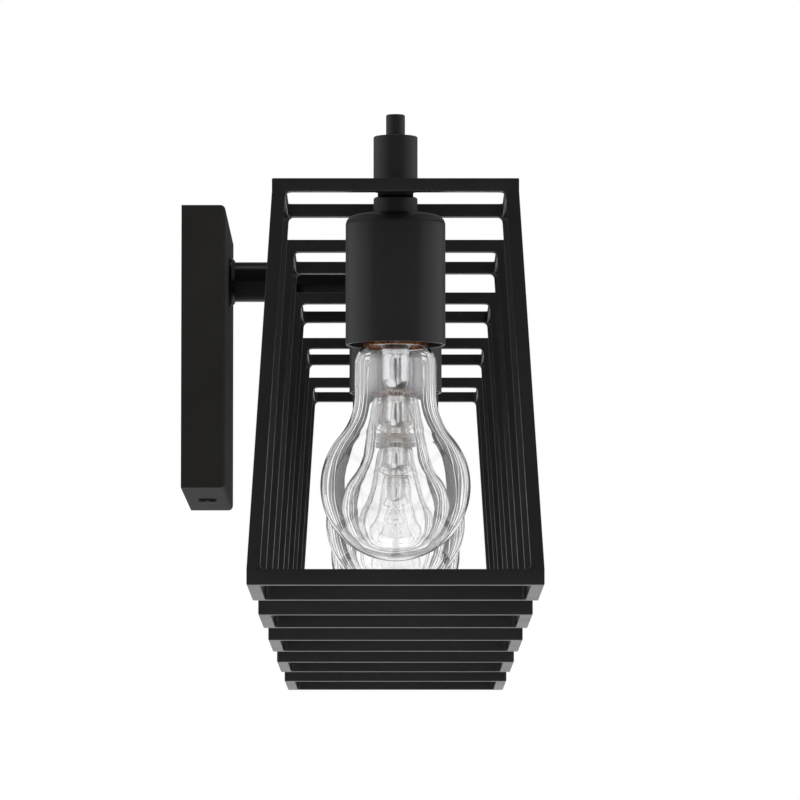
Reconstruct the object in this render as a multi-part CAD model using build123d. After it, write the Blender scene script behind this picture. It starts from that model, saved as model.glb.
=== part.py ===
from build123d import *
import math
import os

# Wall-mounted vanity light: a back plate, one arm, and a row of open cages, each with a bulb.
# Millimetres. Origin in the middle of the plate's wall face, X along the row, Y into the wall, Z up.

# Row
LIGHTS = 5             # lamps in the row
PITCH = 230.0          # from lamp to lamp
CAGE_CLEARANCE = 19.4  # between the plate and the cages

# Back plate, a box that is open to the wall
PLATE_WIDTH = 158.0
PLATE_HEIGHT = 129.0
PLATE_DEPTH = 20.0
PLATE_WALL = 1.2
PLATE_INNER_R = 1.0    # rounding inside the front edges

# Mounting bracket inside the plate
BRACKET_WIDTH = 22.0
BRACKET_GAUGE = 2.0
BRACKET_GAP = 0.3      # between an ear and the plate's wall
BOX_SPACING = 88.9     # screw spacing of the wall box
SLOT_WIDTH = 4.6
SLOT_LENGTH = 12.0

# Screws
CANOPY_SCREW_BACK = 10.0  # from the plate's front to the canopy screws
CANOPY_SCREW_D = 4.0
CANOPY_HEAD_D = 8.4
CANOPY_HEAD_H = 1.4
CANOPY_HEAD_R = 0.6
DRIVE_SLOT_WIDTH = 1.2
DRIVE_SLOT_DEPTH = 0.7
SCREW_TAIL = 3.0          # thread that stands past the ear
EAR_LIP = 5.0             # ear beyond the canopy screw
GROUND_SCREW_D = 3.8
GROUND_HEAD_FLATS = 8.0
GROUND_HEAD_H = 3.0
GROUND_SCREW_DROP = 18.0  # below the plate's centre

# Arm
ARM_DROP = 27.5        # arm's axis below the plate's top
ARM_D = 18.6
ARM_WALL = 1.6
ARM_THREAD = 12.0      # threaded length at the wall end
FLANGE_LIP = 2.05      # flange around the arm
FLANGE_T = 2.6
FLANGE_CHAMFER = 1.4

# Threaded tubes, one size for the arm's nipple and the lamps' stems
PIPE_D = 9.8
PIPE_BORE = 6.4
NUT_WALL = 2.1         # nut between its thread and its flats
NUT_T = 3.5
PIPE_TAIL = 2.0        # thread that stands past a nut
THREAD_GAP = 0.05      # around a thread in its hole
HOLE_GAP = 0.2         # around a thread in a plain hole
FIT_GAP = 0.1          # around a tube in its seat

# Cross tubes and hubs
TUBE_D = 12.7
TUBE_WALL = 1.0
TUBE_STAND_OFF = 0.5   # from the stem to a tube's end
WIREWAY_D = 8.0        # passage from tube to tube through a hub
HUB_WALL = 2.45        # hub beside its tubes
HUB_RISE = 12.6        # hub above the tube's axis
HUB_CHEEK = 2.0        # middle hub between the tubes and the arm's seat
SPIGOT_LENGTH = 8.0    # middle hub inside the arm
STEM_DROP = 1.0        # stem's top end below the tube's axis
STEM_HEADROOM = 4.0    # hollow above the stem's top end
FINIAL_D = 7.6
FINIAL_HEIGHT = 8.8
FINIAL_EDGE_R = 0.6
FINIAL_PIN_D = 5.0
FINIAL_PIN = 4.5

# Cage
CAGE_GAP = 0.2         # between the arm or the tubes and the cages' top
CAGE_TOP = 97.0        # outside of the top ring
CAGE_BOTTOM = 116.0    # outside of the bottom ring
CAGE_HEIGHT = 160.2
BAR = 5.2              # square bars of the top ring and the posts
FOOT_BAR_H = 6.2       # height of the bottom ring's bars
STRAP_EDGE = 2.0       # strap beside its hole
STRAP_T = 2.4

# Socket
CAP_D = 17.6
CAP_HEIGHT = 7.1
CAP_EDGE_R = 0.8
CUP_WALL = 1.2
CUP_INNER_R = 2.8      # rounding inside the shoulder
HOLDER_GAP = 0.5       # between the lampholder and the cup
HOLDER_RECESS = 2.5    # lampholder above the cup's mouth
HOLDER_ROOF = 3.0      # wall under the cup's top
HOLDER_FLOOR = 4.0     # wall between the wiring space and the screw shell
HOLDER_WALL = 4.4
WIRING_ROOM = 8.2      # between the stem and the centre contact
SHELL_WALL = 0.4
SHELL_SHORT = 1.0      # screw shell above the lampholder's mouth

# Centre contact, a small plunger
CONTACT_D = 7.0
CONTACT_T = 1.5
CONTACT_PIN_D = 3.4
CONTACT_GAP = 0.3      # around the plunger's pin
CONTACT_TRAVEL = 2.0   # room for the plunger to follow the bulb down
TIP_GAP = 0.1          # between the contact and the bulb's tip

# Bulb
BASE_D = 26.0
BASE_PROUD = 0.5       # base below the cup's mouth
BASE_THREAD = 19.0     # threaded part of the base
BASE_CONE = 4.6        # insulator between the thread and the tip
BASE_TIP_D = 9.5
BASE_TIP_H = 1.6
BASE_WALL = 0.8
THREAD_PITCH = 3.63
THREAD_DEPTH = 0.7
THREAD_CLEAR = 0.3     # between the base and the screw shell
GLASS_WALL = 0.7
SEAL_INSET = 0.1       # glass inside the base's edge, where they meet
NECK_FLARE = 3.4       # neck beyond the seal
NECK_LENGTH = 11.7     # straight part of the neck
SHOULDER_R = 10.0      # rounding from the seal to the neck
FLANK_R = 25.7         # hollow rounding from the neck to the globe
GLOBE_D = 59.8
STEM_TUBE_D = 10.6
STEM_TUBE_DROP = 14.0  # stem tube below the cup's mouth
PRESS_H = 4.0
PRESS_T = 3.4
PRESS_TURN = 45.0      # degrees, flat of the press and its wires from the row
FLARE_T = 1.0
FLARE_GAP = 0.3        # between the stem's flare and the base
WIRE_D = 0.9
WIRE_FOOT = 3.5        # lead feet from the bulb's axis
WIRE_SPREAD = 11.0     # lead tips from the bulb's axis
WIRE_DROP = 15.0       # lead tips below the press
FILAMENT_SAG = 2.5     # rise and fall of the filament between its supports

# Heights that follow from the sizes above, from the plate down to the bulb
ARM_Z = PLATE_HEIGHT / 2 - ARM_DROP
HUB_TOP_Z = ARM_Z + HUB_RISE
STEM_TOP_Z = ARM_Z - STEM_DROP
CAGE_TOP_Z = ARM_Z - max(ARM_D, TUBE_D) / 2 - CAGE_GAP
CAGE_BOTTOM_Z = CAGE_TOP_Z - CAGE_HEIGHT
CAP_TOP_Z = CAGE_TOP_Z - STRAP_T
CUP_TOP_Z = CAP_TOP_Z - CAP_HEIGHT
HOLDER_TOP_Z = CUP_TOP_Z - CUP_WALL
ROOF_Z = HOLDER_TOP_Z - HOLDER_ROOF
STEM_LOW_Z = ROOF_Z - NUT_T - PIPE_TAIL
CONTACT_TOP_Z = STEM_LOW_Z - WIRING_ROOM
PIN_TOP_Z = CONTACT_TOP_Z - CONTACT_T
FLOOR_TOP_Z = PIN_TOP_Z - CONTACT_TRAVEL - CONTACT_GAP
FLOOR_LOW_Z = FLOOR_TOP_Z - HOLDER_FLOOR
CONTACT_LOW_Z = FLOOR_LOW_Z - CONTACT_T
TIP_Z = CONTACT_LOW_Z - TIP_GAP
THREAD_TOP_Z = TIP_Z - BASE_TIP_H - BASE_CONE
BASE_LOW_Z = THREAD_TOP_Z - BASE_THREAD
CUP_MOUTH_Z = BASE_LOW_Z + BASE_PROUD
HOLDER_MOUTH_Z = CUP_MOUTH_Z + HOLDER_RECESS
PRESS_TOP_Z = CUP_MOUTH_Z - STEM_TUBE_DROP
PRESS_LOW_Z = PRESS_TOP_Z - PRESS_H

# Other sizes that follow
ROW_OUT = PLATE_DEPTH + CAGE_CLEARANCE + CAGE_BOTTOM / 2
CANOPY_SCREW_OUT = PLATE_DEPTH - CANOPY_SCREW_BACK
ARM_BORE = ARM_D - 2 * ARM_WALL
ARM_SEAT = TUBE_D / 2 + HUB_CHEEK
HUB_D = TUBE_D + 2 * HUB_WALL
MIDDLE_HUB_D = 2 * math.hypot(ARM_SEAT, ARM_D / 2)
TUBE_STOP = PIPE_D / 2 + TUBE_STAND_OFF
NUT_FLATS = PIPE_D + 2 * NUT_WALL
STRAP_WIDTH = PIPE_D + 2 * HOLE_GAP + 2 * STRAP_EDGE
SHELL_BORE = BASE_D + 2 * THREAD_CLEAR
SHELL_D = SHELL_BORE + 2 * SHELL_WALL
HOLDER_BORE = SHELL_D + 2 * FIT_GAP
HOLDER_D = HOLDER_BORE + 2 * HOLDER_WALL
CUP_BORE = HOLDER_D + 2 * HOLDER_GAP
CUP_D = CUP_BORE + 2 * CUP_WALL
BASE_BORE = BASE_D - 2 * THREAD_DEPTH - 2 * BASE_WALL
SEAL_R = BASE_D / 2 - SEAL_INSET
MIDDLE = LIGHTS // 2
STATIONS = [(number - MIDDLE) * PITCH for number in range(LIGHTS)]

FROM_LOW = (Align.CENTER, Align.CENTER, Align.MIN)


def upright(diameter, low, high):
    """Round bar about the vertical axis between two heights."""
    return Pos(0, 0, low) * Cylinder(diameter / 2, high - low, align=FROM_LOW)


def along_row(diameter, start, end):
    """Round bar along the row at the arm's height."""
    return Pos(start, 0, ARM_Z) * Rot(0, 90, 0) * Cylinder(diameter / 2, end - start, align=FROM_LOW)


def toward_wall(diameter, start, end):
    """Round bar square to the wall at the arm's height."""
    return Pos(0, start, ARM_Z) * Rot(-90, 0, 0) * Cylinder(diameter / 2, end - start, align=FROM_LOW)


def hexagon(flats, thickness):
    """Hexagonal block that stands on the ground plane."""
    return extrude(RegularPolygon(flats / 2, 6, major_radius=False), thickness)


def turned(outline):
    """Solid made by turning a closed outline, in the plane of X and Z, about the vertical axis."""
    return revolve(make_face(outline), Axis.Z, 360)


def at_lamp(solid, station):
    """A lamp's piece at its place in the row."""
    return Pos(station, -ROW_OUT, 0) * solid


def save(name, *pieces):
    """Write a node, one solid or a group of solids."""
    solids = [solid for piece in pieces for solid in piece.solids()]
    shape = solids[0] if len(solids) == 1 else Compound(solids)
    export_step(shape, f"parts/{name}.step")


# Plate and wall fixing

def back_plate():
    """Shallow box with rounded front edges, holed for the arm's nipple and the canopy screws."""
    outer = Pos(0, -PLATE_DEPTH / 2, 0) * Box(PLATE_WIDTH, PLATE_DEPTH, PLATE_HEIGHT)
    outer = fillet(outer.faces().sort_by(Axis.Y)[0].edges(), PLATE_INNER_R + PLATE_WALL)
    room = PLATE_DEPTH - PLATE_WALL
    hollow = Pos(0, -room / 2, 0) * Box(
        PLATE_WIDTH - 2 * PLATE_WALL, room, PLATE_HEIGHT - 2 * PLATE_WALL
    )
    hollow = fillet(hollow.faces().sort_by(Axis.Y)[0].edges(), PLATE_INNER_R)
    hole = toward_wall(PIPE_D + 2 * HOLE_GAP, -PLATE_DEPTH, -room)
    screw_holes = Pos(0, -CANOPY_SCREW_OUT, 0) * upright(
        CANOPY_SCREW_D + 2 * HOLE_GAP, -PLATE_HEIGHT / 2, PLATE_HEIGHT / 2
    )
    return outer - hollow - hole - screw_holes


def mounting_bracket():
    """Strap on the wall with two slots for the wall box, and an ear at each end."""
    reach = PLATE_HEIGHT / 2 - PLATE_WALL - BRACKET_GAP
    ear_out = CANOPY_SCREW_OUT + EAR_LIP
    bracket = Pos(0, -ear_out / 2, 0) * Box(BRACKET_WIDTH, ear_out, 2 * reach)
    bracket -= Pos(0, -BRACKET_GAUGE - ear_out / 2, 0) * Box(
        BRACKET_WIDTH, ear_out, 2 * (reach - BRACKET_GAUGE)
    )
    slot = Rot(90, 0, 0) * extrude(SlotOverall(SLOT_LENGTH, SLOT_WIDTH, rotation=90), BRACKET_GAUGE)
    for side in (-1, 1):
        bracket -= Pos(0, 0, side * BOX_SPACING / 2) * slot
    bracket -= Pos(0, -CANOPY_SCREW_OUT, 0) * upright(CANOPY_SCREW_D + 2 * THREAD_GAP, -reach, reach)
    bracket -= Pos(0, 0, -ARM_Z - GROUND_SCREW_DROP) * toward_wall(
        GROUND_SCREW_D + 2 * THREAD_GAP, -BRACKET_GAUGE, 0
    )
    return bracket


def canopy_screw():
    """Slotted pan-head screw, with its head on the plate's top."""
    seat = PLATE_HEIGHT / 2
    head = upright(CANOPY_HEAD_D, seat, seat + CANOPY_HEAD_H)
    head = fillet(head.faces().sort_by(Axis.Z)[-1].edges(), CANOPY_HEAD_R)
    head -= Pos(0, 0, seat + CANOPY_HEAD_H) * Box(
        CANOPY_HEAD_D, DRIVE_SLOT_WIDTH, 2 * DRIVE_SLOT_DEPTH
    )
    tip = seat - PLATE_WALL - BRACKET_GAP - BRACKET_GAUGE - SCREW_TAIL
    return Pos(0, -CANOPY_SCREW_OUT, 0) * (head + upright(CANOPY_SCREW_D, tip, seat))


def ground_screw():
    """Hexagonal screw in the bracket, with its tip level with the wall."""
    head = Pos(0, -BRACKET_GAUGE, 0) * Rot(90, 0, 0) * hexagon(GROUND_HEAD_FLATS, GROUND_HEAD_H)
    shank = Pos(0, 0, -ARM_Z) * toward_wall(GROUND_SCREW_D, -BRACKET_GAUGE, 0)
    return Pos(0, 0, -GROUND_SCREW_DROP) * (head + shank)


# Arm

def support_arm():
    """Round arm from the plate to the middle hub, threaded at the wall and bored for the wires."""
    far_end = -ROW_OUT + ARM_SEAT
    arm = toward_wall(ARM_D, far_end, -PLATE_DEPTH)
    arm -= toward_wall(ARM_BORE, far_end, -PLATE_DEPTH - ARM_THREAD)
    arm -= toward_wall(PIPE_D + 2 * THREAD_GAP, -PLATE_DEPTH - ARM_THREAD, -PLATE_DEPTH)
    return arm


def arm_flange():
    """Collar around the arm, on the plate, chamfered towards the room."""
    flange = toward_wall(ARM_D + 2 * FLANGE_LIP, -PLATE_DEPTH - FLANGE_T, -PLATE_DEPTH)
    flange = chamfer(flange.faces().sort_by(Axis.Y)[0].edges(), FLANGE_CHAMFER)
    return flange - toward_wall(ARM_D + 2 * FIT_GAP, -PLATE_DEPTH - FLANGE_T, -PLATE_DEPTH)


def arm_nipple():
    """Threaded tube through the plate that holds the arm."""
    start = -PLATE_DEPTH - ARM_THREAD
    end = -PLATE_DEPTH + PLATE_WALL + NUT_T + PIPE_TAIL
    return toward_wall(PIPE_D, start, end) - toward_wall(PIPE_BORE, start, end)


def arm_lock_nut():
    """Nut on the nipple, against the inside of the plate."""
    nut = Pos(0, -PLATE_DEPTH + PLATE_WALL, ARM_Z) * Rot(-90, 0, 0) * hexagon(NUT_FLATS, NUT_T)
    hole = toward_wall(PIPE_D + 2 * THREAD_GAP, -PLATE_DEPTH, 0)
    return nut - hole


# Row of hubs and tubes

def hub(diameter, sides):
    """Upright hub on a cage's strap, bored for its stem, its finial and the tubes on the given sides."""
    body = upright(diameter, CAGE_TOP_Z, HUB_TOP_Z)
    body -= upright(PIPE_D + 2 * THREAD_GAP, CAGE_TOP_Z, STEM_TOP_Z + STEM_HEADROOM)
    body -= upright(FINIAL_PIN_D + 2 * THREAD_GAP, HUB_TOP_Z - FINIAL_PIN, HUB_TOP_Z)
    for side in sides:
        seat = along_row(TUBE_D + 2 * FIT_GAP, TUBE_STOP, diameter)
        wireway = along_row(WIREWAY_D, 0, diameter)
        body -= Rot(0, 0, 0 if side > 0 else 180) * (seat + wireway)
    return body


def middle_hub():
    """Larger hub with a flat seat and a spigot for the arm."""
    body = hub(MIDDLE_HUB_D, (-1, 1))
    behind = Pos(0, ARM_SEAT + MIDDLE_HUB_D / 2, ARM_Z) * Box(
        MIDDLE_HUB_D, MIDDLE_HUB_D, 2 * (HUB_RISE + ARM_D)
    )
    body -= behind
    body += toward_wall(ARM_BORE - 2 * FIT_GAP, ARM_SEAT, ARM_SEAT + SPIGOT_LENGTH)
    return body - toward_wall(WIREWAY_D, 0, ARM_SEAT + SPIGOT_LENGTH)


def cross_tube(start, end):
    """Tube from one hub's seat to the next."""
    low = start + TUBE_STOP
    high = end - TUBE_STOP
    return along_row(TUBE_D, low, high) - along_row(TUBE_D - 2 * TUBE_WALL, low, high)


def finial():
    """Thin stub on the hub, with a pin in the hub's top."""
    stub = upright(FINIAL_D, HUB_TOP_Z, HUB_TOP_Z + FINIAL_HEIGHT)
    stub = fillet(stub.faces().sort_by(Axis.Z)[-1].edges(), FINIAL_EDGE_R)
    return stub + upright(FINIAL_PIN_D, HUB_TOP_Z - FINIAL_PIN, HUB_TOP_Z)


# Cage

def ring_bars(side, low, height):
    """Four mitred bars of a square ring."""
    outside = side / 2
    inside = outside - BAR
    plan = make_face(
        Polyline((-outside, -outside), (outside, -outside), (inside, -inside), (-inside, -inside), close=True)
    )
    bar = Pos(0, 0, low) * extrude(plan, height)
    return [Rot(0, 0, 90 * turn) * bar for turn in range(4)]


def corner_posts():
    """Four leaning posts from the bottom ring's corners to the top ring's."""
    low = CAGE_BOTTOM_Z + FOOT_BAR_H
    rise = CAGE_HEIGHT - BAR - FOOT_BAR_H
    inset = (CAGE_BOTTOM - CAGE_TOP) / 2
    foot_at = (CAGE_BOTTOM - BAR) / 2
    foot = Pos(foot_at, foot_at, low) * Rectangle(BAR, BAR)
    lean = Vector(-inset, -inset, rise)
    post = extrude(foot, amount=lean.length, dir=lean)
    return [Rot(0, 0, 90 * turn) * post for turn in range(4)]


def strap():
    """Flat strap across the top ring, along the row, with a hole for the stem."""
    length = CAGE_TOP - 2 * BAR
    bar = Pos(0, 0, CAP_TOP_Z + STRAP_T / 2) * Box(length, STRAP_WIDTH, STRAP_T)
    return bar - upright(PIPE_D + 2 * HOLE_GAP, CAP_TOP_Z, CAGE_TOP_Z)


def cage():
    """All the bars of one open cage and its strap."""
    bars = ring_bars(CAGE_TOP, CAGE_TOP_Z - BAR, BAR)
    bars += ring_bars(CAGE_BOTTOM, CAGE_BOTTOM_Z, FOOT_BAR_H)
    return bars + corner_posts() + [strap()]


# Socket

def threaded_stem():
    """Threaded tube that hangs the socket and the cage from the hub."""
    return upright(PIPE_D, STEM_LOW_Z, STEM_TOP_Z) - upright(PIPE_BORE, STEM_LOW_Z, STEM_TOP_Z)


def stem_lock_nut():
    """Nut under the lampholder's roof."""
    nut = Pos(0, 0, ROOF_Z - NUT_T) * hexagon(NUT_FLATS, NUT_T)
    return nut - upright(PIPE_D + 2 * THREAD_GAP, ROOF_Z - NUT_T, ROOF_Z)


def socket_cap():
    """Spacer between the strap and the cup."""
    cap = upright(CAP_D, CUP_TOP_Z, CAP_TOP_Z)
    cap = fillet(cap.faces().sort_by(Axis.Z)[-1].edges(), CAP_EDGE_R)
    return cap - upright(PIPE_D + 2 * HOLE_GAP, CUP_TOP_Z, CAP_TOP_Z)


def socket_cup():
    """Round cup with a rounded shoulder, open below."""
    cup = upright(CUP_D, CUP_MOUTH_Z, CUP_TOP_Z)
    cup = fillet(cup.faces().sort_by(Axis.Z)[-1].edges(), CUP_INNER_R + CUP_WALL)
    hollow = upright(CUP_BORE, CUP_MOUTH_Z, HOLDER_TOP_Z)
    hollow = fillet(hollow.faces().sort_by(Axis.Z)[-1].edges(), CUP_INNER_R)
    return cup - hollow - upright(PIPE_D + 2 * HOLE_GAP, HOLDER_TOP_Z, CUP_TOP_Z)


def lampholder():
    """Insulating body with a wiring space above and the screw shell's bore below."""
    body = upright(HOLDER_D, HOLDER_MOUTH_Z, HOLDER_TOP_Z)
    body = fillet(body.faces().sort_by(Axis.Z)[-1].edges(), CUP_INNER_R)
    body -= upright(HOLDER_BORE, FLOOR_TOP_Z, ROOF_Z)
    body -= upright(PIPE_D + 2 * HOLE_GAP, ROOF_Z, HOLDER_TOP_Z)
    body -= upright(HOLDER_BORE, HOLDER_MOUTH_Z, FLOOR_LOW_Z)
    return body - upright(CONTACT_PIN_D + 2 * CONTACT_GAP, FLOOR_LOW_Z, FLOOR_TOP_Z)


def screw_shell():
    """Metal sleeve that takes the bulb's thread."""
    low = HOLDER_MOUTH_Z + SHELL_SHORT
    return upright(SHELL_D, low, FLOOR_LOW_Z) - upright(SHELL_BORE, low, FLOOR_LOW_Z)


def center_contact():
    """Plunger that rests on the bulb's tip, held by a collar above the lampholder's floor."""
    plunger = upright(CONTACT_D, CONTACT_LOW_Z, FLOOR_LOW_Z)
    plunger += upright(CONTACT_PIN_D, FLOOR_LOW_Z, PIN_TOP_Z)
    return plunger + upright(CONTACT_D, PIN_TOP_Z, CONTACT_TOP_Z)


# Bulb

def bulb_base():
    """Screw base with ring ridges, an insulator cone and a tip."""
    base = upright(BASE_D, BASE_LOW_Z, THREAD_TOP_Z)
    ridges = int((BASE_THREAD - THREAD_PITCH) / THREAD_PITCH)
    groove_r = THREAD_PITCH / 4
    for number in range(ridges):
        height = THREAD_TOP_Z - (number + 0.5) * THREAD_PITCH
        ring = upright(BASE_D + groove_r, height - groove_r, height + groove_r)
        base -= ring - upright(BASE_D - 2 * THREAD_DEPTH, height - groove_r, height + groove_r)
    cone = Pos(0, 0, THREAD_TOP_Z) * Cone(
        BASE_D / 2 - THREAD_DEPTH, BASE_TIP_D / 2, BASE_CONE, align=FROM_LOW
    )
    base += cone + upright(BASE_TIP_D, THREAD_TOP_Z + BASE_CONE, TIP_Z)
    return base - upright(BASE_BORE, BASE_LOW_Z, THREAD_TOP_Z - BASE_WALL)


def envelope(inset):
    """Outline of the glass, moved inwards by inset, from the seal to the globe's lowest point."""
    neck_r = SEAL_R + NECK_FLARE
    globe_r = GLOBE_D / 2
    shoulder_x = neck_r - SHOULDER_R
    shoulder_z = BASE_LOW_Z - math.sqrt(SHOULDER_R**2 - (SEAL_R - shoulder_x) ** 2)
    flank_x = neck_r + FLANK_R
    flank_z = shoulder_z - NECK_LENGTH
    flank_rise = math.sqrt((globe_r + FLANK_R) ** 2 - flank_x**2)
    globe_z = flank_z - flank_rise

    def on_circle(center_x, center_z, radius, degrees):
        angle = math.radians(degrees)
        return (center_x + radius * math.cos(angle), 0, center_z + radius * math.sin(angle))

    shoulder_r = SHOULDER_R - inset
    seal_angle = math.degrees(math.acos((SEAL_R - inset - shoulder_x) / shoulder_r))
    meet_angle = math.degrees(math.atan2(flank_rise, flank_x))
    flank_r = FLANK_R + inset
    shoulder = ThreePointArc(
        on_circle(shoulder_x, shoulder_z, shoulder_r, seal_angle),
        on_circle(shoulder_x, shoulder_z, shoulder_r, seal_angle / 2),
        on_circle(shoulder_x, shoulder_z, shoulder_r, 0),
    )
    neck = Line(shoulder @ 1, on_circle(flank_x, flank_z, flank_r, 180))
    flank = ThreePointArc(
        neck @ 1,
        on_circle(flank_x, flank_z, flank_r, 180 + meet_angle / 2),
        on_circle(flank_x, flank_z, flank_r, 180 + meet_angle),
    )
    globe = ThreePointArc(
        flank @ 1,
        on_circle(0, globe_z, globe_r - inset, (meet_angle - 90) / 2),
        on_circle(0, globe_z, globe_r - inset, -90),
    )
    top = Vector(0, 0, (shoulder @ 0).Z)
    return [shoulder, neck, flank, globe, Line(globe @ 1, top), Line(top, shoulder @ 0)]


def bulb_glass():
    """Pear-shaped glass with an even wall, open where it meets the base."""
    mouth = upright(2 * (SEAL_R - GLASS_WALL), BASE_LOW_Z - GLASS_WALL, BASE_LOW_Z)
    return turned(envelope(0)) - turned(envelope(GLASS_WALL)) - mouth


def bulb_stem():
    """Glass stem: a flare in the base, a tube and a flat press that holds the wires."""
    flare_z = BASE_LOW_Z + FLARE_T
    stem = upright(BASE_BORE - 2 * FLARE_GAP, flare_z, flare_z + FLARE_T)
    stem += upright(STEM_TUBE_D, PRESS_TOP_Z, flare_z)
    press = loft([
        Pos(0, 0, PRESS_TOP_Z) * Circle(STEM_TUBE_D / 2),
        Pos(0, 0, PRESS_LOW_Z) * Ellipse(STEM_TUBE_D / 2, PRESS_T / 2),
    ])
    return stem + Rot(0, 0, PRESS_TURN) * press


def rod(start, end):
    """Straight wire between two points."""
    path = Line(start, end)
    return sweep(Plane(origin=path @ 0, z_dir=path % 0) * Circle(WIRE_D / 2), path)


def bulb_filament():
    """Two lead wires, two supports between them, and the filament along their tips."""
    tip_z = PRESS_LOW_Z - WIRE_DROP
    shares = (-1, -1 / 3, 1 / 3, 1)
    feet = [(share * WIRE_FOOT, 0, PRESS_LOW_Z - WIRE_D / 2) for share in shares]
    tips = [
        (share * WIRE_SPREAD, 0, tip_z - (FILAMENT_SAG if abs(share) < 1 else 0)) for share in shares
    ]
    wires = [rod(foot, tip) for foot, tip in zip(feet, tips)]
    wires += [rod(start, end) for start, end in zip(tips, tips[1:])]
    knots = [Pos(*tip) * Sphere(WIRE_D / 2) for tip in tips]
    return Rot(0, 0, PRESS_TURN) * wires[0].fuse(*wires[1:], *knots)


os.makedirs("parts", exist_ok=True)

save("back_plate", back_plate())
save("mounting_bracket", mounting_bracket())
save("canopy_screws", canopy_screw(), mirror(canopy_screw(), Plane.XY))
save("ground_screw", ground_screw())
save("arm_flange", arm_flange())
save("support_arm", support_arm())
save("arm_nipple", arm_nipple())
save("arm_lock_nut", arm_lock_nut())
save("cross_tubes", *[
    at_lamp(cross_tube(start, end), 0) for start, end in zip(STATIONS, STATIONS[1:])
])

for number, station in enumerate(STATIONS):
    first = number == 0
    last = number == LIGHTS - 1
    if number == MIDDLE:
        lamp_hub = middle_hub()
    else:
        lamp_hub = hub(HUB_D, [side for side, end in ((-1, first), (1, last)) if not end])
    save(f"hub_{number + 1}", at_lamp(lamp_hub, station))

for group, piece in (
    ("finials", finial()),
    ("threaded_stems", threaded_stem()),
    ("stem_lock_nuts", stem_lock_nut()),
    ("socket_caps", socket_cap()),
    ("screw_shells", screw_shell()),
):
    save(group, *[at_lamp(piece, station) for station in STATIONS])

for number, station in enumerate(STATIONS):
    save(f"cage_{number + 1}", *[at_lamp(bar, station) for bar in cage()])

for name, piece in (
    ("socket_cup", socket_cup()),
    ("lampholder", lampholder()),
    ("center_contact", center_contact()),
    ("bulb_base", bulb_base()),
    ("bulb_glass", bulb_glass()),
    ("bulb_stem", bulb_stem()),
    ("bulb_filament", bulb_filament()),
):
    for number, station in enumerate(STATIONS):
        save(f"{name}_{number + 1}", at_lamp(piece, station))
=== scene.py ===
import math

import bmesh
import bpy
from bmesh.types import BMEdge, BMVert
from bpy.props import FloatProperty, FloatVectorProperty, PointerProperty
from mathutils import Matrix, Vector


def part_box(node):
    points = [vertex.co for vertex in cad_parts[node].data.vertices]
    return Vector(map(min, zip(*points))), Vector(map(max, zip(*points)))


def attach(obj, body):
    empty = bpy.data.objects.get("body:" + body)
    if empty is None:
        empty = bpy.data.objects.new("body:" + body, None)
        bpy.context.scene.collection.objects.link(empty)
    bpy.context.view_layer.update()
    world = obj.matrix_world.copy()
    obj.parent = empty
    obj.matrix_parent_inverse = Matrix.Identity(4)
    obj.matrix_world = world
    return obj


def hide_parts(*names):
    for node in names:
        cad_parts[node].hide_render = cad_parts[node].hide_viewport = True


bl_info = {
    "name": "Vanity Light",
    "version": (1, 0, 0),
    "blender": (4, 5, 0),
    "location": "View3D > Sidebar > Vanity Light",
    "description": "Builds the finished pieces of a five-lamp cage vanity light around its frame",
    "category": "Object",
}

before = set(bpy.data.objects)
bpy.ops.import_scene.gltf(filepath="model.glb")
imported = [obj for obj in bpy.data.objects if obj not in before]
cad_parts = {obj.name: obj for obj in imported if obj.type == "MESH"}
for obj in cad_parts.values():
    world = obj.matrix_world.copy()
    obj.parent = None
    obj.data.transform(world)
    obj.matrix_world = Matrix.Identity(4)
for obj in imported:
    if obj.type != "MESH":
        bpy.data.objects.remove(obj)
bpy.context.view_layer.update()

LAMPS = range(1, 1 + sum(node.startswith("cage_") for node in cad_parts))
MIDDLE_LAMP = (len(LAMPS) + 1) // 2
MM = 0.001
UP = Vector((0, 0, 1))
QUARTER = math.pi / 2
WHITE = (1.0, 1.0, 1.0)

TOUCH = 1e-6        # metres; points nearer than this are one point
FACING = 0.9        # share of a normal by which a face looks one way
FINE_STEPS = 160    # flats round the glass
ROUND_STEPS = 96    # flats round the turned metal pieces
HEAD_STEPS = 48     # flats round a screw's head
SCREW_STEPS = 32    # flats round a screw's thread
WIRE_STEPS = 10     # flats round a wire, and steps round a turn of a coil
COIL_STEPS = 5      # flats round the wire of a coil
RIDGE_STEPS = 10    # points from ridge to ridge of a base's thread
PRESS_STEPS = 5     # levels of a stem's press
WIRE_SHARES = (-1, -1 / 3, 1 / 3, 1)    # a bulb's wires, as shares of the outer ones' distance
SMOOTH_ANGLE = math.radians(32)
HOLLOW_ANGLE, OUTER_ANGLE = -1.0, 0.8    # radians; inner corners between bars, and the bars' own edges
CORNER_ANGLE = 0.5                       # radians; the plate's corners
PANEL_RANGE = 0.3, 0.9          # where side panels fade in, in squared shares across the row
HORIZON_RANGE = -0.02, -0.06    # where the studio turns to floor, in rises of a direction
LIGHT_BOUNCES = 64              # enough for five bulbs behind each other


# Sizes and colours that a user can change

def setting(kind, description, default, **limits):
    """A property that gets its name later."""
    return lambda name: kind(name=name, description=description, default=default, **limits)


def length(description, millimetres):
    """A length whose default is given in millimetres."""
    return setting(FloatProperty, description, millimetres / 1000, min=0.0, precision=5, unit="LENGTH")


def angle(description, degrees):
    """An angle whose default is given in degrees."""
    return setting(FloatProperty, description, math.radians(degrees), subtype="ANGLE")


def share(description, default):
    """A number between nothing and everything."""
    return setting(FloatProperty, description, default, min=0.0, max=1.0, subtype="FACTOR")


def colour(description, default):
    """A colour."""
    return setting(FloatVectorProperty, description, default, min=0.0, max=1.0, size=3, subtype="COLOR")


def named(group):
    """Gives each property of a group its name, which is its key in words."""
    properties = group.__annotations__
    for key, make in properties.items():
        properties[key] = make(key.replace("_", " ").capitalize())
    return group


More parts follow.
